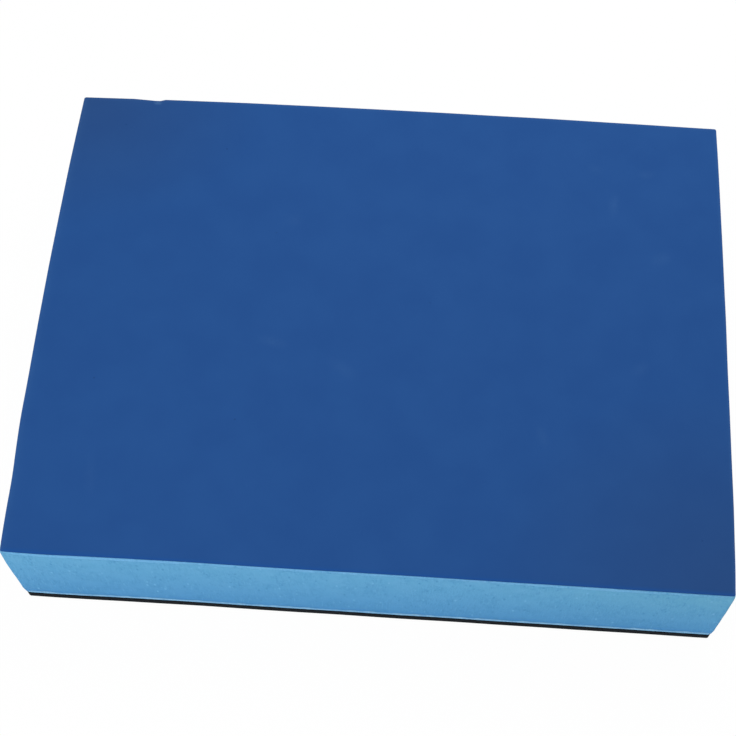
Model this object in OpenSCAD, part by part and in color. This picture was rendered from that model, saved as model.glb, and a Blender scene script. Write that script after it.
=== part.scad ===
// Foam case insert: a plain rectangular block that fills a small tool case.
// Four layers lie face to face: a black sheet, a glue film, a light foam core
// and a thin dark skin on top. The stack is cut to size after it is bonded,
// so the layers share one outline and differ only by small setbacks.
// Origin at the centre of the footprint, +X to the right, +Y to the back, +Z up.

/* [Block] */
// Width of the block, left to right
block_w = 380; // [150:1:600]
// Depth of the block, front to back
block_d = 290; // [120:1:500]
// Radius of the upright corners
corner_r = 1.2; // [0.6:0.1:6]
// Radius of the soft edges round the top of the core
arris_r = 0.4; // [0.2:0.1:2]

/* [Layers] */
// Thickness of the light foam core
core_t = 65; // [20:0.5:200]
// Thickness of the dark skin on the top
skin_t = 0.5; // [0.2:0.1:3]
// Thickness of the glue film under the core
bond_t = 1; // [0.3:0.1:3]
// Thickness of the black sheet at the bottom
base_t = 5.5; // [2:0.5:20]

/* [Setbacks] */
// Bare strip left between the soft edge of the core and the skin
skin_lip = 0.1; // [0:0.1:3]
// How far the glue and the black sheet stop short of the left and right sides
base_setback = 0.6; // [0.1:0.1:4]

/* [Nick] */
// Distance from the left side to the start of the nick in the back edge
nick_from_left = 32; // [5:1:90]
// Length of the nick's long shallow slope
nick_slope = 9.5; // [2:0.5:20]
// Length of the nick's floor
nick_floor = 5; // [1:0.5:15]
// Length of the nick's steep return
nick_return = 2.5; // [0.5:0.5:10]
// How deep the nick cuts into the back of the core
nick_depth = 0.9; // [0.3:0.1:3]
// How far down the back of the block the nick runs out
nick_height = 3; // [1:0.5:10]

/* [Hidden] */
// Heights of the layers above the surface the insert stands on
bond_z = base_t;
core_z = bond_z + bond_t;
skin_z = core_z + core_t;
top_z = skin_z + skin_t;

// The skin stays on the flat of the core, inside its soft edge
least_r = 0.1;
skin_setback = arris_r + skin_lip;
skin_corner_r = max(corner_r - skin_setback, least_r);

// A cutter reaches this far past the faces that it trims
over = 1;
$fn = 64;

// Rectangle centred on the origin, with round corners
module rounded_plan(w, d, r) {
    square([w - 2 * r, d], center = true);
    square([w, d - 2 * r], center = true);
    for (x = [-1, 1], y = [-1, 1])
        translate([x * (w / 2 - r), y * (d / 2 - r)]) circle(r);
}

// Upright section that is square at the foot and round at the two top edges
module soft_topped_section(w, h, r) {
    translate([-w / 2, 0]) square([w, h - r]);
    translate([r - w / 2, 0]) square([w - 2 * r, h]);
    for (x = [-1, 1])
        translate([x * (w / 2 - r), h - r]) circle(r);
}

// One layer of the stack, trimmed at the left and right by a setback
module layer(thickness, side_setback) {
    linear_extrude(thickness)
        rounded_plan(block_w - 2 * side_setback, block_d, corner_r);
}

// Knife slip in the top of the back edge: a long slope, a short floor and a
// steep return. The cutter leans back, so the cut fades out down the back face.
module nick_cutter() {
    lean = atan2(nick_depth, nick_height);
    bite = nick_depth * cos(lean);
    reach = (bite + over) / bite;
    length = 2 * (nick_depth + nick_height + over);
    slope_end = nick_from_left + nick_slope;
    floor_end = slope_end + nick_floor;
    translate([-block_w / 2, block_d / 2, top_z])
        rotate([lean, 0, 0])
            linear_extrude(length, center = true)
                polygon([
                    [slope_end - reach * nick_slope, over],
                    [slope_end, -bite],
                    [floor_end, -bite],
                    [floor_end + reach * nick_return, over]
                ]);
}

// Black closed-cell sheet that the insert stands on
module base_sheet() {
    color("#26242a") layer(base_t, base_setback);
}

// Pale film of set glue between the sheet and the core
module bond_line() {
    color("#9ab9cb") translate([0, 0, bond_z]) layer(bond_t, base_setback);
}

// Light-blue foam core with sawn sides
module foam_core() {
    color("#60a0c9")
        difference() {
            translate([0, 0, core_z])
                intersection() {
                    layer(core_t, 0);
                    rotate([90, 0, 0])
                        linear_extrude(block_d + 2 * over, center = true)
                            soft_topped_section(block_w, core_t, arris_r);
                    rotate([90, 0, 90])
                        linear_extrude(block_w + 2 * over, center = true)
                            soft_topped_section(block_d, core_t, arris_r);
                }
            nick_cutter();
        }
}

// Thin dark-blue skin, smooth on top
module top_skin() {
    color("#275090")
        difference() {
            translate([0, 0, skin_z])
                linear_extrude(skin_t)
                    rounded_plan(
                        block_w - 2 * skin_setback,
                        block_d - 2 * skin_setback,
                        skin_corner_r
                    );
            nick_cutter();
        }
}

base_sheet();
bond_line();
foam_core();
top_skin();
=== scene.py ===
import math
import bpy
import numpy as np
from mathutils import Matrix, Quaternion, Vector, noise


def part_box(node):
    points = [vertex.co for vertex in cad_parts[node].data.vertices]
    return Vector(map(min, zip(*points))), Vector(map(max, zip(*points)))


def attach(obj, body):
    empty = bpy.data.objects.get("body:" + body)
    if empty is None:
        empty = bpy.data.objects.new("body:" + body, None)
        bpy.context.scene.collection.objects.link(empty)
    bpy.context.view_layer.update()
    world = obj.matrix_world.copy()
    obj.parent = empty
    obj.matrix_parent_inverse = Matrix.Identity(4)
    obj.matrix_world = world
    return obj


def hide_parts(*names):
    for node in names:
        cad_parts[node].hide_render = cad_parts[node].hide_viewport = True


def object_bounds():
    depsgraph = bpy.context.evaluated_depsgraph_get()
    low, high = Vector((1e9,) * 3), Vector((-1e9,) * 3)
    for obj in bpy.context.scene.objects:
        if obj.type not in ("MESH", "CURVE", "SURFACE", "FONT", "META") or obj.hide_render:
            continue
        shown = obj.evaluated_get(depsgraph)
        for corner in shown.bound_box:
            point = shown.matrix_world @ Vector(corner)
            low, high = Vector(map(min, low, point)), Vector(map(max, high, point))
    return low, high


mm = 0.001

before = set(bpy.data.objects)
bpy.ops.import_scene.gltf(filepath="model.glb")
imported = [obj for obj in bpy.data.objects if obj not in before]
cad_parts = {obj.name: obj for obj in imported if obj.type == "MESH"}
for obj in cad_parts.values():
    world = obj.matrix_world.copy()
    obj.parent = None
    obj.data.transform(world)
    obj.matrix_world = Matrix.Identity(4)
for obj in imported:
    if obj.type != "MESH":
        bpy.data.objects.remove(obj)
cadBox = [list(corner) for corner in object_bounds()]
blockLow, blockHigh = (np.array(corner) / mm for corner in cadBox)
print("frame loaded:", sorted(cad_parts))

srgbCurve = {"knee": 0.04045, "slope": 12.92, "offset": 0.055, "power": 2.4}


# sRGB hex to the linear colour that a socket takes
def paint(hexColour):
    curve, linear = srgbCurve, []
    for start in (1, 3, 5):
        channel = int(hexColour[start:start + 2], 16) / 255
        if channel <= curve["knee"]:
            linear.append(channel / curve["slope"])
        else:
            linear.append(((channel + curve["offset"]) / (1 + curve["offset"])) ** curve["power"])
    return (*linear, 1)


# adds a node: a socket given as a value is linked, a name of the node itself is set on it,
# and anything else goes on the input of that name or number
def addNode(tree, kind, values):
    node = tree.nodes.new(kind)
    for name, value in values.items():
        if isinstance(value, bpy.types.NodeSocket):
            tree.links.new(value, node.inputs[name])
        elif isinstance(name, str) and hasattr(node, name):
            setattr(node, name, value)
        else:
            node.inputs[name].default_value = value
    return node


def newMaterial(name):
    material = bpy.data.materials.new(name)
    material.use_nodes = True
    material.node_tree.nodes.clear()
    return material, material.node_tree


# the sides as the knife left them, in mm: shift moves the whole side out, bow is how far its
# middle stands out, skew leans the bow to one end, and each bump is
# (place along the side, height, how far out, half length, half height)
cutSides = {
    "front": {"shift": -0.10, "bow": -0.05, "skew": 0,
              "bumps": [(-166, 60, 0.65, 26, 60), (-100, 30, -0.15, 30, 90)]},
    "back": {"shift": 0.20, "bow": 2.10, "skew": -0.40, "bumps": [(45, 40, -0.15, 50, 60)]},
    "left": {"shift": -0.20, "bow": 2.30, "skew": 0,
             "bumps": [(-68, 40, 0.35, 14, 60), (-104, 40, -0.50, 14, 60), (-145, 50, 0.35, 18, 16),
                       (148, 40, -0.35, 40, 60)]},
    "right": {"shift": 0.15, "bow": 0.70, "skew": 0,
              "bumps": [(-145, 72, -0.32, 10, 9), (-98, 40, 0.18, 16, 60), (-20, 40, -0.18, 24, 60),
                        (146, 40, -0.22, 14, 60)]},
}
# slow wander of the blade over every side, each side from its own stretch of the noise
bladeWander = {"length": 34, "height": 11, "depth": 0.12, "seedStep": 50}
# slip of the knife in the top of the back edge: where it starts, then the lengths of its slope,
# floor and steep return. It runs out down the back over its height, and inwards over its fade,
# and the grid of the layers that it cuts is closer there, all in mm
knifeSlip = {"start": -159.5, "slope": 13, "floor": 2.8, "back": 3.0, "depth": 1.0, "height": 3, "fade": 5,
             "gridMargin": 1, "gridStep": 0.5}
slipStops = np.cumsum([knifeSlip[part] for part in ("start", "slope", "floor", "back")])


def sideShift(side, along, height, halfLength):
    cut, wander = cutSides[side], bladeWander
    u = along / halfLength
    out = cut["shift"] + (cut["bow"] + cut["skew"] * u) * (1 - u * u)
    for place, level, depth, halfRun, halfRise in cut["bumps"]:
        fall = ((along - place) / halfRun) ** 2 + ((height - level) / halfRise) ** 2
        out = out + depth * np.exp(-fall)
    seed = wander["seedStep"] * list(cutSides).index(side)
    waves = [noise.noise(Vector((a / wander["length"], h / wander["height"], seed)))
             for a, h in zip(along, height)]
    return out + wander["depth"] * np.array(waves)


def slipDepth(x, y, z):
    slip = knifeSlip
    depth = np.interp(x, slipStops, [0, slip["depth"], slip["depth"], 0])
    depth = depth * np.clip(1 - (blockHigh[2] - z) / slip["height"], 0, 1)
    return depth * np.clip(1 - (blockHigh[1] - y) / slip["fade"], 0, 1)


# every layer follows the same cut, so they all take their outline from here
def followCut(points):
    x, y, z = points.T
    halfX, halfY = blockHigh[0], blockHigh[1]
    toRight, toBack = (x / halfX + 1) / 2, (y / halfY + 1) / 2
    right, left = sideShift("right", y, z, halfY), sideShift("left", y, z, halfY)
    back, front = sideShift("back", x, z, halfX), sideShift("front", x, z, halfX)
    movedX = x + toRight * right - (1 - toRight) * left
    movedY = y + toBack * back - (1 - toBack) * front - slipDepth(x, y, z)
    return np.stack([movedX, movedY, z], 1)


# grid lines across one side of a layer: close together in the rounded edges, even in between
def gridLines(low, high, edges, step, extra=()):
    inside = [edge for edge in edges if edge < (high - low) / 2]
    last = inside[-1]
    count = max(1, round((high - low - 2 * last) / step))
    middle = np.linspace(low + last, high - last, count + 1)
    lines = [low + edge for edge in inside] + list(middle) + [high - edge for edge in inside]
    return sorted({round(float(line), 4) for line in lines + list(extra)})


# the skin of a box as quads on those lines, closed all round
def boxShell(xs, ys, zs):
    index, points, faces = {}, [], []

    def at(*key):
        if key not in index:
            index[key] = len(points)
            points.append((xs[key[0]], ys[key[1]], zs[key[2]]))
        return index[key]

    lastX, lastY, lastZ = len(xs) - 1, len(ys) - 1, len(zs) - 1
    for i in range(lastX):
        for j in range(lastY):
            faces.append((at(i, j, 0), at(i, j + 1, 0), at(i + 1, j + 1, 0), at(i + 1, j, 0)))
            faces.append((at(i, j, lastZ), at(i + 1, j, lastZ), at(i + 1, j + 1, lastZ), at(i, j + 1, lastZ)))
        for k in range(lastZ):
            faces.append((at(i, 0, k), at(i + 1, 0, k), at(i + 1, 0, k + 1), at(i, 0, k + 1)))
            faces.append((at(i, lastY, k), at(i, lastY, k + 1), at(i + 1, lastY, k + 1), at(i + 1, lastY, k)))
    for j in range(lastY):
        for k in range(lastZ):
            faces.append((at(0, j, k), at(0, j, k + 1), at(0, j + 1, k + 1), at(0, j + 1, k)))
            faces.append((at(lastX, j, k), at(lastX, j + 1, k), at(lastX, j + 1, k + 1), at(lastX, j, k + 1)))
    return np.array(points), faces


# rolls the long edges over and rounds the upright corners of a box shell
def roundEdges(points, low, high, corner, topEdge, footEdge):
    middle, half = (low + high)[:2] / 2, (high - low)[:2] / 2
    flat = points[:, :2] - middle
    inner = np.clip(flat, corner - half, half - corner)
    outward = flat - inner                 # past the middles of the round corners
    reach = np.abs(outward).max(axis=1)
    inset = corner - reach                 # how far a point lies inside the nearest side
    z = points[:, 2].copy()
    # the square rings of each long edge become rings of its quarter round
    for radius, level, way in ((topEdge, high[2], 1), (footEdge, low[2], -1)):
        across = np.clip(radius - inset, 0, None)
        along = np.clip(way * (points[:, 2] - level) + radius, 0, None)
        length = np.hypot(across, along)
        rolled = (across > 0) & (along > 0)
        scale = np.where(rolled, np.maximum(across, along) / np.where(rolled, length, 1), 1)
        inset = np.where(rolled, radius - across * scale, inset)
        z = np.where(rolled, level + way * (along * scale - radius), z)
    outward = outward * np.where(reach > 0, (corner - inset) / np.where(reach > 0, reach, 1), 1)[:, None]
    # and the square rings of each upright corner become arcs
    longest, length = np.abs(outward).max(axis=1), np.hypot(*outward.T)
    outward = outward * np.where(length > 0, longest / np.where(length > 0, length, 1), 1)[:, None]
    return np.column_stack([middle + inner + outward, z])


# one layer of the block, modelled round its CAD node and put in its place: finish shapes it
# further, and wear gives each point how far it is rubbed. In its look, proud is how far it stands
# past the node along x, y and z, corner, topEdge and footEdge are radii, edgeLines are how far in
# the close grid lines lie, and step and stepUp are the spacing of the others, all in mm
def buildLayer(node, look, material, finish=None, wear=None):
    low, high = (np.array(corner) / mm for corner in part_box(node))
    low, high = low - np.array(look["proud"]), high + np.array(look["proud"])
    margin, step = knifeSlip["gridMargin"], knifeSlip["gridStep"]
    slipLines = np.arange(slipStops[0] - margin, slipStops[-1] + margin, step) if look["slipped"] else ()
    xs = gridLines(low[0], high[0], look["edgeLines"], look["step"], slipLines)
    ys = gridLines(low[1], high[1], look["edgeLines"], look["step"])
    zs = gridLines(low[2], high[2], look["edgeLines"], look["stepUp"])
    points, faces = boxShell(xs, ys, zs)
    points = roundEdges(points, low, high, look["corner"], look["topEdge"], look["footEdge"])
    if finish:
        points = finish(look, points, low, high)
    mesh = bpy.data.meshes.new(look["name"])
    mesh.from_pydata((followCut(points) * mm).tolist(), [], faces)
    if wear:
        worn = mesh.attributes.new("worn", "FLOAT", "POINT")
        worn.data.foreach_set("value", wear(look, points, high))
    mesh.polygons.foreach_set("use_smooth", [True] * len(mesh.polygons))
    mesh.update()
    mesh.materials.append(material)
    piece = bpy.data.objects.new(look["name"], mesh)
    bpy.context.scene.collection.objects.link(piece)
    flats = piece.modifiers.new("flats stay flat", "WEIGHTED_NORMAL")
    flats.keep_sharp = True
    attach(piece, "root")
    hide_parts(node)
    print(look["name"], "built:", len(faces), "faces")


# the two upright front corners of the core swell sideways past the glued end of the sheet, and
# are drawn in again under the top. The skin on them follows, in mm
cornerSwell = {"left": 1.12, "right": 0.8, "run": 2.5, "foot": 4.5, "head": 4}
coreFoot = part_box("foam_core")[0][2] / mm


def swellCorners(points):
    swell = cornerSwell
    x, y, z = points.T
    share = np.clip(1 - (y - blockLow[1]) / swell["run"], 0, 1)
    share = share * np.clip(1 - (blockHigh[0] - np.abs(x)) / swell["run"], 0, 1)
    share = share * np.clip((z - coreFoot) / swell["foot"], 0, 1)
    share = share * np.clip((blockHigh[2] - z) / swell["head"], 0, 1)
    points[:, 0] = x + np.where(x > 0, swell["right"], -swell["left"]) * share
    return points


# a soft spot seen from above, strongest at its centre and 0 outside. A spot is the place of its
# centre and its half length and half width in mm, its turn in degrees and its strength
def softSpot(tree, place, spot):
    x, y, halfLength, halfWidth, turn, strength = spot
    laid = addNode(tree, "ShaderNodeMapping", {
        "vector_type": "TEXTURE", "Vector": place, "Location": (x * mm, y * mm, blockHigh[2] * mm),
        "Rotation": (0, 0, math.radians(turn)), "Scale": (halfLength * mm, halfWidth * mm, 1)}).outputs[0]
    fall = addNode(tree, "ShaderNodeTexGradient", {
        "gradient_type": "SPHERICAL", "Vector": laid}).outputs["Fac"]
    return addNode(tree, "ShaderNodeMath", {"operation": "MULTIPLY", 0: fall, 1: strength}).outputs[0]


# sawn polyethylene foam: a matt field of cut cells, drawn out in the direction of the foam's rise,
# with paler torn flecks and darker open pores, and with faint upright strokes and level tears of
# the blade. Painted shade darkens the side towards the foot, most of all in the last few millimetres,
# and a painted highlight makes its crest under the skin paler. The right front corner has painted shade
sawnFoam = {
    # the third and fourth colours are painted shade towards the foot
    "colour": "#67abd5", "deep": "#62a8d2", "foot": "#5499cd", "deepened": "#498cc7",
    # the first colour here is a painted highlight for the crest, and the second is painted shade for the
    # right front corner
    "crest": "#80aee0", "paintedShade": "#67abc9", "fleck": "#72b4dd", "pore": "#488fc0",
    # painted shade at the right front corner: centre and half sizes in mm, turn and strength
    "paintedShadeCorner": (190, -145, 130, 120, 0, 0.6),
    "blotch": 9, "blotchShows": (0.35, 0.65),    # mm, and the stretch of the noise that shows
    # bands down the side, painted shade towards the foot and a painted highlight at the crest: tone,
    # heights in mm where it starts and is full, strength and blend
    "bands": [("foot", (62, 10), 1, "LINEAR"), ("deepened", (17, 8), 1, "SMOOTHSTEP"),
              ("crest", (70.0, 71.2), 0.32, "LINEAR")],
    "deepenedWander": 5,                          # mm, up and down with the blotches
    # cut cells, a little coarser than such foam has so that they show: size in mm, how they are
    # drawn out, and distances from a cell's centre in cells
    "cell": 1.1, "drawnOut": (1, 1, 0.4), "cellTone": 0.32, "cupRim": 0.75,
    "openCells": (0.94, 0.96),                   # one cell in twenty is open through its middle
    "poreEdge": (0.5, 0.2), "poreStrength": 0.6,
    # torn flecks: nearly two in five lift and look pale, and the others are small pits
    "fleckSpacing": 4.5, "fleckEdge": (0.19, 0.05), "fleckStrength": 0.85, "liftedFlecks": (0.60, 0.65),
    # grains of noise: size in mm, how it is drawn out, and detail
    "grains": {"tear": (1.6, (1, 1, 0.4), 2.0), "stroke": (0.8, (1, 1, 0.1), 1.0),
               "levelTear": (0.8, (0.2, 0.2, 1), 1.0), "drag": (12, (1, 1, 1), 1.0)},
    # marks of the blade: grain, the stretch of it that shows, strength and tone
    "marks": [("tear", (0.50, 0.75), 0.30, "pore"), ("levelTear", (0.60, 0.74), 0.30, "pore"),
              ("stroke", (0.60, 0.74), 0.35, "fleck"), ("stroke", (0.40, 0.26), 0.35, "pore")],
    "dragShows": (0.38, 0.62), "dragShare": (0.3, 1.2),
    "roughness": 0.8, "ior": 1.45, "gloss": 0.15, "bump": 0.5, "cupDepth": 0.16, "tearDepth": 0.35,
}


# the colour of the side before any marks: blotches, painted shade at a corner, and bands by height
# of painted shade towards the foot and a painted highlight at the crest
def foamBody(tree, place, look):
    blotch = addNode(tree, "ShaderNodeTexNoise", {
        "Vector": place, "Scale": 1 / (look["blotch"] * mm), "Detail": 3.0}).outputs["Fac"]
    low, high = look["blotchShows"]
    blotchShare = addNode(tree, "ShaderNodeMapRange", {"Value": blotch, "From Min": low, "From Max": high})
    body = addNode(tree, "ShaderNodeMix", {
        "data_type": "RGBA", 0: blotchShare.outputs["Result"],
        6: paint(look["colour"]), 7: paint(look["deep"])}).outputs[2]
    # painted shade at the right front corner
    body = addNode(tree, "ShaderNodeMix", {
        "data_type": "RGBA", 0: softSpot(tree, place, look["paintedShadeCorner"]),
        6: body, 7: paint(look["paintedShade"])}).outputs[2]

    height = addNode(tree, "ShaderNodeSeparateXYZ", {"Vector": place}).outputs["Z"]
    wavyHeight = addNode(tree, "ShaderNodeMath", {
        "operation": "MULTIPLY_ADD", 0: blotch, 1: look["deepenedWander"] * mm, 2: height}).outputs[0]
    # bands by height: painted shade towards the foot, deepest in the last few millimetres, and a painted
    # highlight at the crest
    for tone, (start, full), strength, blend in look["bands"]:
        share = addNode(tree, "ShaderNodeMapRange", {
            "interpolation_type": blend, "Value": wavyHeight if tone == "deepened" else height,
            "From Min": start * mm, "From Max": full * mm, "To Max": strength}).outputs["Result"]
        body = addNode(tree, "ShaderNodeMix", {
            "data_type": "RGBA", 0: share, 6: body, 7: paint(look[tone])}).outputs[2]
    return body


# the cut cells: how deep each is cupped, how much of its own tone it has, and its open pore
def foamCells(tree, drawn, look):
    cells = addNode(tree, "ShaderNodeTexVoronoi", {
        "Vector": drawn, "Scale": 1 / (look["cell"] * mm)}).outputs
    cup = addNode(tree, "ShaderNodeMapRange", {
        "Value": cells["Distance"], "From Max": look["cupRim"]}).outputs["Result"]
    kind = addNode(tree, "ShaderNodeSeparateColor", {"Color": cells["Color"]}).outputs["Red"]
    toneShare = addNode(tree, "ShaderNodeMath", {
        "operation": "MULTIPLY", 0: kind, 1: look["cellTone"]}).outputs[0]
    low, high = look["openCells"]
    openCell = addNode(tree, "ShaderNodeMapRange", {"Value": kind, "From Min": low, "From Max": high})
    rim, middle = look["poreEdge"]
    mouth = addNode(tree, "ShaderNodeMapRange", {
        "Value": cells["Distance"], "From Min": rim, "From Max": middle})
    pore = addNode(tree, "ShaderNodeMath", {
        "operation": "MULTIPLY", 0: openCell.outputs["Result"], 1: mouth.outputs["Result"]}).outputs[0]
    pore = addNode(tree, "ShaderNodeMath", {
        "operation": "MULTIPLY", 0: pore, 1: look["poreStrength"]}).outputs[0]
    return cup, toneShare, pore


# the torn flecks: how much of each shows, and its colour
def foamFlecks(tree, drawn, look):
    flecks = addNode(tree, "ShaderNodeTexVoronoi", {
        "Vector": drawn, "Scale": 1 / (look["fleckSpacing"] * mm)}).outputs
    rim, middle = look["fleckEdge"]
    share = addNode(tree, "ShaderNodeMapRange", {
        "Value": flecks["Distance"], "From Min": rim, "From Max": middle,
        "To Max": look["fleckStrength"]}).outputs["Result"]
    kind = addNode(tree, "ShaderNodeSeparateColor", {"Color": flecks["Color"]}).outputs["Red"]
    low, high = look["liftedFlecks"]
    lifted = addNode(tree, "ShaderNodeMapRange", {
        "Value": kind, "From Min": low, "From Max": high}).outputs["Result"]
    colour = addNode(tree, "ShaderNodeMix", {
        "data_type": "RGBA", 0: lifted, 6: paint(look["pore"]), 7: paint(look["fleck"])}).outputs[2]
    return share, colour


# the noise behind the marks of the blade
def foamGrains(tree, place, look):
    grains = {}
    for name, (size, stretch, detail) in look["grains"].items():
        laid = addNode(tree, "ShaderNodeMapping", {"Vector": place, "Scale": stretch}).outputs[0]
        grains[name] = addNode(tree, "ShaderNodeTexNoise", {
            "Vector": laid, "Scale": 1 / (size * mm), "Detail": detail}).outputs["Fac"]
    return grains


def sawnFoamMaterial(look):
    material, tree = newMaterial("sawn polyethylene foam")
    place = addNode(tree, "ShaderNodeTexCoord", {}).outputs["Object"]
    drawn = addNode(tree, "ShaderNodeMapping", {"Vector": place, "Scale": look["drawnOut"]}).outputs[0]
    colour = foamBody(tree, place, look)
    cup, toneShare, pore = foamCells(tree, drawn, look)
    fleckShare, fleckColour = foamFlecks(tree, drawn, look)
    grains = foamGrains(tree, place, look)

    marks = [(toneShare, "pore")]
    for grain, (start, full), strength, tone in look["marks"]:
        share = addNode(tree, "ShaderNodeMapRange", {
            "Value": grains[grain], "From Min": start, "From Max": full,
            "To Max": strength}).outputs["Result"]
        marks.append((share, tone))
    marks.append((pore, "pore"))
    # the blade dragged at the cells in patches, and left the foam between them quieter
    low, high = look["dragShows"]
    least, most = look["dragShare"]
    dragged = addNode(tree, "ShaderNodeMapRange", {
        "Value": grains["drag"], "From Min": low, "From Max": high,
        "To Min": least, "To Max": most}).outputs["Result"]
    for share, tone in marks:
        share = addNode(tree, "ShaderNodeMath", {
            "operation": "MULTIPLY", "use_clamp": True, 0: share, 1: dragged}).outputs[0]
        colour = addNode(tree, "ShaderNodeMix", {
            "data_type": "RGBA", 0: share, 6: colour, 7: paint(look[tone])}).outputs[2]
    colour = addNode(tree, "ShaderNodeMix", {
        "data_type": "RGBA", 0: fleckShare, 6: colour, 7: fleckColour}).outputs[2]

    cupBump = addNode(tree, "ShaderNodeBump", {
        "Height": cup, "Strength": look["bump"], "Distance": look["cupDepth"] * mm})
    tearBump = addNode(tree, "ShaderNodeBump", {
        "Height": grains["tear"], "Strength": look["bump"], "Distance": look["tearDepth"] * mm,
        "Normal": cupBump.outputs["Normal"]})
    shader = addNode(tree, "ShaderNodeBsdfPrincipled", {
        "Base Color": colour, "Roughness": look["roughness"], "IOR": look["ior"],
        "Specular IOR Level": look["gloss"], "Normal": tearBump.outputs["Normal"]})
    addNode(tree, "ShaderNodeOutputMaterial", {"Surface": shader.outputs["BSDF"]})
    return material


# the thick core. Just under the skin the cut foam swells out of the front, and its crest catches
# the light: how far out, how far below the top, how high, and where it fades at the ends, in mm.
# It is uneven by a share of that, over a length
foamCore = {
    "name": "foamCore", "slot": "light_foam", "proud": (0, 0, 0), "corner": 1.2,
    "topEdge": 0.12, "footEdge": 0.2, "edgeLines": (0, 0.1, 0.2, 0.3, 0.4, 0.5, 0.65, 0.8, 1.2, 2.4),
    "step": 4, "stepUp": 3, "slipped": True, "padded": True,
    "crest": {"out": 1.0, "below": 0.5, "reach": 0.45, "fade": 5, "length": 90, "uneven": 0.6, "seed": 31},
}


def swellCrest(look, points, low, high):
    crest = look["crest"]
    unevenness = [noise.noise(Vector((x / crest["length"], crest["seed"], 0))) for x in points[:, 0]]
    out = crest["out"] * (1 + crest["uneven"] * np.array(unevenness))
    out = out * np.exp(-((high[2] - crest["below"] - points[:, 2]) / crest["reach"]) ** 2)
    out = out * np.clip((high[0] - np.abs(points[:, 0])) / crest["fade"], 0, 1)
    out = out * np.clip(1 - (points[:, 1] - low[1]) / look["corner"], 0, 1)
    points = swellCorners(points)
    points[:, 1] -= out
    return points


buildLayer("foam_core", foamCore, sawnFoamMaterial(sawnFoam), swellCrest)


# moulded foam skin: cells pressed shut against a smooth plate, so the top is a deep, almost
# matt blue with faint clouds and a few pinholes. Painted shade darkens two of its corners, it is deeper
# along the front edge, and handling has left paler rubs, most of all along the other edges. The last
# mark is a paler patch on the knife slip
mouldedSkin = {
    # the third colour is painted shade for two corners, and the fourth a deeper strip along the front edge
    "colour": "#214a84", "cloud": "#204882", "paintedShade": "#26426f", "deepened": "#17488b",
    "rubbed": "#6f9cc4", "pinhole": "#1a3d72",
    "cloudSize": 22, "cloudShows": (0.35, 0.65),          # mm, and the stretch of the noise that shows
    "grain": 1.3, "grainShows": (0.3, 0.6), "grainShare": (0.4, 1.1),
    "pinholeSpacing": 26, "pinholeEdge": (0.024, 0.014),  # mm, and in spacings
    "roughness": (0.74, 0.82), "roughnessShows": (0.3, 0.7),
    "ior": 1.5, "gloss": 0.05, "bump": 0.4, "grainDepth": 0.03,
    # the first two spots are painted shade at the far left and near right corners
    "spots": [("paintedShade", (-190, 145, 110, 90, 0, 0.6)), ("paintedShade", (190, -145, 130, 120, 0, 0.6)),
              ("deepened", (0, -145, 1500, 2.6, 0, 0.75))],
    "marks": [
        # the marks are rubs, save the last, which is a paler patch on the knife slip
        (-60, -14, 11, 4, -12, 0.035), (-20, -28, 12, 5, -34, 0.025), (-55, 66, 6, 6, 60, 0.02),
        (129, 88, 10, 4, 84, 0.035), (-149, -100, 15, 4, 97, 0.02), (156, 53, 8, 5, 30, 0.03),
        (148, 110, 6, 4, 10, 0.035), (118, 112, 6, 4, -20, 0.02), (90, -62, 8, 4, -70, 0.03),
        (143, -18, 7, 5, 40, 0.025), (-144.5, 143.6, 3.2, 1.8, 0, 0.22),
    ],
}


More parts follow.
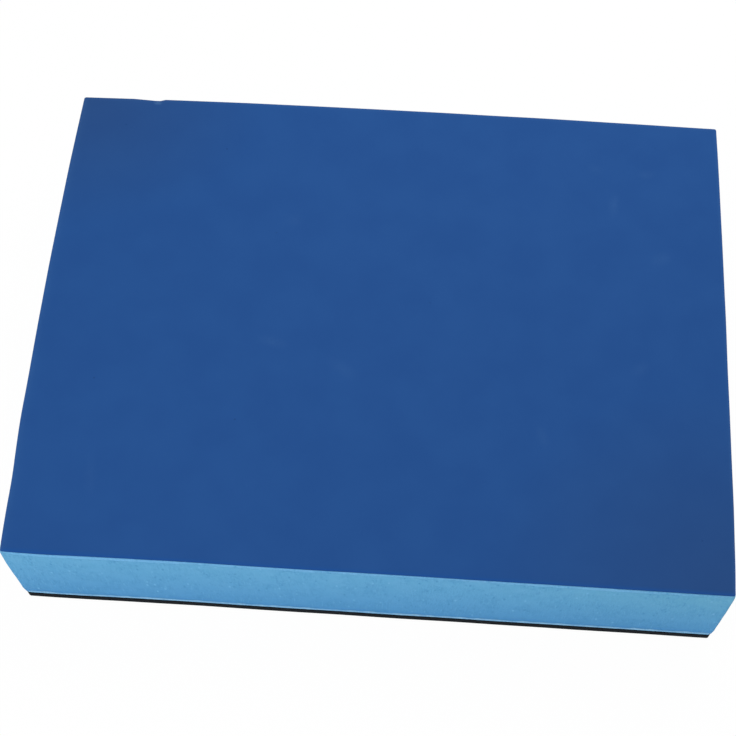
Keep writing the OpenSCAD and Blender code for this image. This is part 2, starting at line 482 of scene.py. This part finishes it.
def mouldedSkinMaterial(look):
    material, tree = newMaterial("moulded foam skin")
    place = addNode(tree, "ShaderNodeTexCoord", {}).outputs["Object"]
    cloud = addNode(tree, "ShaderNodeTexNoise", {
        "Vector": place, "Scale": 1 / (look["cloudSize"] * mm), "Detail": 5.0}).outputs["Fac"]
    low, high = look["cloudShows"]
    cloudShare = addNode(tree, "ShaderNodeMapRange", {"Value": cloud, "From Min": low, "From Max": high})
    body = addNode(tree, "ShaderNodeMix", {
        "data_type": "RGBA", 0: cloudShare.outputs["Result"],
        6: paint(look["colour"]), 7: paint(look["cloud"])}).outputs[2]
    for tone, spot in look["spots"]:
        body = addNode(tree, "ShaderNodeMix", {
            "data_type": "RGBA", 0: softSpot(tree, place, spot), 6: body, 7: paint(look[tone])}).outputs[2]

    # rubs: along the edges and in single marks, broken up by the grain
    rubbed = addNode(tree, "ShaderNodeAttribute", {"attribute_name": "worn"}).outputs["Fac"]
    for mark in look["marks"]:
        rubbed = addNode(tree, "ShaderNodeMath", {
            "operation": "MAXIMUM", 0: rubbed, 1: softSpot(tree, place, mark)}).outputs[0]
    grain = addNode(tree, "ShaderNodeTexNoise", {
        "Vector": place, "Scale": 1 / (look["grain"] * mm), "Detail": 2.0}).outputs["Fac"]
    low, high = look["grainShows"]
    least, most = look["grainShare"]
    patchy = addNode(tree, "ShaderNodeMapRange", {
        "Value": grain, "From Min": low, "From Max": high, "To Min": least, "To Max": most}).outputs["Result"]
    rubbed = addNode(tree, "ShaderNodeMath", {"operation": "MULTIPLY", 0: rubbed, 1: patchy}).outputs[0]
    colour = addNode(tree, "ShaderNodeMix", {
        "data_type": "RGBA", 0: rubbed, 6: body, 7: paint(look["rubbed"])}).outputs[2]

    holes = addNode(tree, "ShaderNodeTexVoronoi", {
        "Vector": place, "Scale": 1 / (look["pinholeSpacing"] * mm)}).outputs["Distance"]
    rim, middle = look["pinholeEdge"]
    holeShare = addNode(tree, "ShaderNodeMapRange", {"Value": holes, "From Min": rim, "From Max": middle})
    colour = addNode(tree, "ShaderNodeMix", {
        "data_type": "RGBA", 0: holeShare.outputs["Result"], 6: colour, 7: paint(look["pinhole"])}).outputs[2]

    low, high = look["roughnessShows"]
    smooth, rough = look["roughness"]
    roughness = addNode(tree, "ShaderNodeMapRange", {
        "Value": cloud, "From Min": low, "From Max": high, "To Min": smooth, "To Max": rough})
    bump = addNode(tree, "ShaderNodeBump", {
        "Height": grain, "Strength": look["bump"], "Distance": look["grainDepth"] * mm})
    shader = addNode(tree, "ShaderNodeBsdfPrincipled", {
        "Base Color": colour, "Roughness": roughness.outputs["Result"], "IOR": look["ior"],
        "Specular IOR Level": look["gloss"], "Normal": bump.outputs["Normal"]})
    addNode(tree, "ShaderNodeOutputMaterial", {"Surface": shader.outputs["BSDF"]})
    return material


# the thin skin on top, which swells slowly over the soft core. A rub is the axis across it, the
# end of that axis, its width in mm and its strength
topSkin = {
    "name": "topSkin", "slot": "dark_skin", "proud": (0.45, 0.45, 0), "corner": 1.2,
    "topEdge": 0.2, "footEdge": 0.02, "edgeLines": (0, 0.05, 0.1, 0.15, 0.2, 0.4, 0.8, 1.2, 2.2, 3.4),
    "step": 3, "stepUp": 1, "slipped": True, "padded": True,
    "swell": {"length": 55, "rise": 0.12, "seed": 7},
    "rubs": [(0, -1, 4.0, 0.05), (0, 1, 2.0, 0.05), (1, 1, 2.5, 0.04)],
}


def swellSkin(look, points, low, high):
    swell = look["swell"]
    inTop = np.clip((points[:, 2] - low[2]) / (high[2] - low[2]), 0, 1)
    waves = [noise.noise(Vector((x / swell["length"], y / swell["length"], swell["seed"])))
             for x, y in points[:, :2]]
    points[:, 2] += inTop * swell["rise"] * np.array(waves)
    return swellCorners(points)


def wearEdges(look, points, high):
    worn = np.zeros(len(points))
    for axis, end, width, strength in look["rubs"]:
        inset = high[axis] - end * points[:, axis]
        worn = np.maximum(worn, strength * np.clip(1 - inset / width, 0, 1))
    return worn


buildLayer("top_skin", topSkin, mouldedSkinMaterial(mouldedSkin), swellSkin, wearEdges)


# set contact glue squeezed out of the joint: a pale blue, slightly glossy lip with thin stretches
setGlue = {
    "colour": "#8ac2e6", "thin": "#77b2dc", "patch": 5, "patchShows": (0.4, 0.6),
    "roughness": 0.55, "ior": 1.47, "gloss": 0.25,
}


def setGlueMaterial(look):
    material, tree = newMaterial("set contact glue")
    place = addNode(tree, "ShaderNodeTexCoord", {}).outputs["Object"]
    patch = addNode(tree, "ShaderNodeTexNoise", {
        "Vector": place, "Scale": 1 / (look["patch"] * mm), "Detail": 3.0}).outputs["Fac"]
    low, high = look["patchShows"]
    share = addNode(tree, "ShaderNodeMapRange", {"Value": patch, "From Min": low, "From Max": high})
    colour = addNode(tree, "ShaderNodeMix", {
        "data_type": "RGBA", 0: share.outputs["Result"],
        6: paint(look["colour"]), 7: paint(look["thin"])}).outputs[2]
    shader = addNode(tree, "ShaderNodeBsdfPrincipled", {
        "Base Color": colour, "Roughness": look["roughness"], "IOR": look["ior"],
        "Specular IOR Level": look["gloss"]})
    addNode(tree, "ShaderNodeOutputMaterial", {"Surface": shader.outputs["BSDF"]})
    return material


# the glue in the joint. Its lip climbs a little up the foam, and swells and thins along it, in mm
glueBead = {
    "name": "glueBead", "slot": "glue_film", "proud": (0, 0.06, 0.05), "corner": 1.2,
    "topEdge": 0.1, "footEdge": 0.1, "edgeLines": (0, 0.05, 0.1, 0.2, 0.3, 0.6, 1.2),
    "step": 2, "stepUp": 1, "slipped": False, "padded": False,
    "lip": {"climb": 1.7, "width": 0.35, "ripple": 6, "swell": 0.06, "edge": 1.0, "seed": 19},
}


def rippleLip(look, points, low, high):
    lip = look["lip"]
    ripple = np.array([noise.noise(Vector((x / lip["ripple"], y / lip["ripple"], lip["seed"])))
                       for x, y in points[:, :2]])
    inset = (high[:2] - np.abs(points[:, :2])).min(axis=1)
    onTop = points[:, 2] > (low[2] + high[2]) / 2
    climbing = onTop * np.clip(1 - inset / lip["width"], 0, 1)
    points[:, 2] += lip["climb"] * (1 + ripple) * climbing
    for axis in (0, 1):
        nearEdge = np.abs(points[:, axis]) > high[axis] - lip["edge"]
        points[nearEdge, axis] += (np.sign(points[:, axis]) * lip["swell"] * ripple)[nearEdge]
    return points


buildLayer("bond_line", glueBead, setGlueMaterial(setGlue), rippleLip)


# black closed-cell sheet, knife-cut: dull and dark with grey cell rims, and greyed in patches
# underneath where it has slid on benches
blackSheet = {
    "colour": "#05090f", "rim": "#11161c", "scuffed": "#2b2f34",
    # cells, coarser than such a sheet has so that their rims show: mm, and distances in cells
    "cell": 1.3, "rimShows": (0.35, 0.75),
    "underside": 0.15,                           # mm, how far up the scuffs reach
    # patches of scuff, broad and then fine: size in mm and the stretch of the noise that shows
    "scuffs": [(30, 0.42, 0.68), (0.9, 0.35, 0.65)],
    "roughness": 0.85, "ior": 1.5, "gloss": 0.06, "bump": 0.5, "cupDepth": 0.15,
}


def blackSheetMaterial(look):
    material, tree = newMaterial("black closed-cell sheet")
    place = addNode(tree, "ShaderNodeTexCoord", {}).outputs["Object"]
    cells = addNode(tree, "ShaderNodeTexVoronoi", {
        "Vector": place, "Scale": 1 / (look["cell"] * mm)}).outputs["Distance"]
    low, high = look["rimShows"]
    rim = addNode(tree, "ShaderNodeMapRange", {
        "Value": cells, "From Min": low, "From Max": high}).outputs["Result"]
    colour = addNode(tree, "ShaderNodeMix", {
        "data_type": "RGBA", 0: rim, 6: paint(look["colour"]), 7: paint(look["rim"])}).outputs[2]

    height = addNode(tree, "ShaderNodeSeparateXYZ", {"Vector": place}).outputs["Z"]
    worn = addNode(tree, "ShaderNodeMapRange", {
        "Value": height, "From Min": look["underside"] * mm, "From Max": 0}).outputs["Result"]
    for size, low, high in look["scuffs"]:
        patch = addNode(tree, "ShaderNodeTexNoise", {
            "Vector": place, "Scale": 1 / (size * mm), "Detail": 4.0}).outputs["Fac"]
        patchShare = addNode(tree, "ShaderNodeMapRange", {
            "Value": patch, "From Min": low, "From Max": high}).outputs["Result"]
        worn = addNode(tree, "ShaderNodeMath", {"operation": "MULTIPLY", 0: worn, 1: patchShare}).outputs[0]
    colour = addNode(tree, "ShaderNodeMix", {
        "data_type": "RGBA", 0: worn, 6: colour, 7: paint(look["scuffed"])}).outputs[2]
    bump = addNode(tree, "ShaderNodeBump", {
        "Height": rim, "Strength": look["bump"], "Distance": look["cupDepth"] * mm})
    shader = addNode(tree, "ShaderNodeBsdfPrincipled", {
        "Base Color": colour, "Roughness": look["roughness"], "IOR": look["ior"],
        "Specular IOR Level": look["gloss"], "Normal": bump.outputs["Normal"]})
    addNode(tree, "ShaderNodeOutputMaterial", {"Surface": shader.outputs["BSDF"]})
    return material


# the sheet that the block stands on
baseSheet = {
    "name": "baseSheet", "slot": "black_foam", "proud": (0, 0.4, 0), "corner": 1.2,
    "topEdge": 0.15, "footEdge": 0.2, "edgeLines": (0, 0.05, 0.1, 0.15, 0.2, 0.4, 1.2),
    "step": 4, "stepUp": 1, "slipped": False, "padded": True,
}
buildLayer("base_sheet", baseSheet, blackSheetMaterial(blackSheet))


# white table and white surroundings: rays from the camera, and what gloss and glass show, see
# plain white, while the table still takes the block's shadow
def seenAsWhite(tree):
    path = addNode(tree, "ShaderNodeLightPath", {}).outputs
    either = addNode(tree, "ShaderNodeMath", {
        "operation": "MAXIMUM", 0: path["Is Camera Ray"], 1: path["Is Glossy Ray"]}).outputs[0]
    return addNode(tree, "ShaderNodeMath", {
        "operation": "MAXIMUM", 0: either, 1: path["Is Transmission Ray"]}).outputs[0]


# the white share of the table looks plain white, and the rest of it takes the shadow
table = {"colour": "#f4f4f4", "whiteShare": 0.98, "halfSize": 6}   # half size in m


def buildTable(look):
    half = look["halfSize"]
    corners = [(-half, -half, 0), (half, -half, 0), (half, half, 0), (-half, half, 0)]
    mesh = bpy.data.meshes.new("table")
    mesh.from_pydata(corners, [], [(0, 1, 2, 3)])
    floor = bpy.data.objects.new("table", mesh)
    bpy.context.scene.collection.objects.link(floor)
    material, tree = newMaterial("white table")
    share = addNode(tree, "ShaderNodeMath", {
        "operation": "MULTIPLY", 0: seenAsWhite(tree), 1: look["whiteShare"]}).outputs[0]
    matt = addNode(tree, "ShaderNodeBsdfDiffuse", {"Color": paint(look["colour"])}).outputs[0]
    white = addNode(tree, "ShaderNodeEmission", {"Strength": 1.0}).outputs[0]
    mixed = addNode(tree, "ShaderNodeMixShader", {0: share, 1: matt, 2: white})
    addNode(tree, "ShaderNodeOutputMaterial", {"Surface": mixed.outputs[0]})
    mesh.materials.append(material)


# how strongly the surroundings light the block, and how bright they look themselves
surroundings = {"colour": "#ffffff", "light": 0.2, "seen": 1.0}


def lightSurroundings(look):
    world = bpy.data.worlds.new("studio")
    bpy.context.scene.world = world
    world.use_nodes = True
    tree = world.node_tree
    tree.nodes.clear()
    white = paint(look["colour"])
    soft = addNode(tree, "ShaderNodeBackground", {"Color": white, "Strength": look["light"]}).outputs[0]
    plain = addNode(tree, "ShaderNodeBackground", {"Color": white, "Strength": look["seen"]}).outputs[0]
    mixed = addNode(tree, "ShaderNodeMixShader", {0: seenAsWhite(tree), 1: soft, 2: plain})
    addNode(tree, "ShaderNodeOutputWorld", {"Surface": mixed.outputs[0]})


# soft boxes: place and aim in metres, size in metres, power in watts
softBoxes = {
    "backBox": {"place": (0.19, 0.50, 0.75), "aim": (0, 0, 0.07), "size": 0.8, "power": 7.0},
    "leftBox": {"place": (-0.38, -0.37, 0.75), "aim": (0, 0, 0.07), "size": 0.8, "power": 4.2},
    "frontBox": {"place": (0, -1.6, 0.5), "aim": (0, -0.1, 0.04), "size": 0.8, "power": 7},
}


def hangSoftBox(name, box):
    data = bpy.data.lights.new(name, "AREA")
    data.shape = "SQUARE"
    data.size = box["size"]
    data.energy = box["power"]
    lamp = bpy.data.objects.new(name, data)
    bpy.context.scene.collection.objects.link(lamp)
    lamp.location = box["place"]
    lamp.rotation_mode = "QUATERNION"
    lamp.rotation_quaternion = (Vector(box["aim"]) - Vector(box["place"])).to_track_quat("-Z", "Y")
    lamp.visible_camera = False


buildTable(table)
lightSurroundings(surroundings)
for name, box in softBoxes.items():
    hangSoftBox(name, box)
print("table, surroundings and lamps set")


# the view: down on the block from in front, turned a little
cameraView = {
    "seenFrom": (24.85, -402.09, 818.01),   # mm, from the centre of the footprint
    "aimedAt": (-6.15, -26.88, 72.0),       # mm, on the top of the block
    "rollDegrees": -0.95,
    "lens": 74.43,                          # mm, for the sensor below
    "sensor": 36,                           # mm
    "farthest": 50,                         # m
}


def placeCamera(view):
    data = bpy.data.cameras.new("camera")
    data.sensor_width = view["sensor"]
    data.lens = view["lens"]
    data.clip_end = view["farthest"]
    camera = bpy.data.objects.new("camera", data)
    bpy.context.scene.collection.objects.link(camera)
    seenFrom = Vector(view["seenFrom"]) * mm
    direction = Vector(view["aimedAt"]) * mm - seenFrom
    camera.location = seenFrom
    camera.rotation_mode = "QUATERNION"
    roll = Quaternion((0, 0, 1), math.radians(view["rollDegrees"]))
    camera.rotation_quaternion = direction.to_track_quat("-Z", "Y") @ roll
    bpy.context.scene.camera = camera


placeCamera(cameraView)
bpy.context.scene.view_settings.view_transform = "Standard"
print("camera placed")
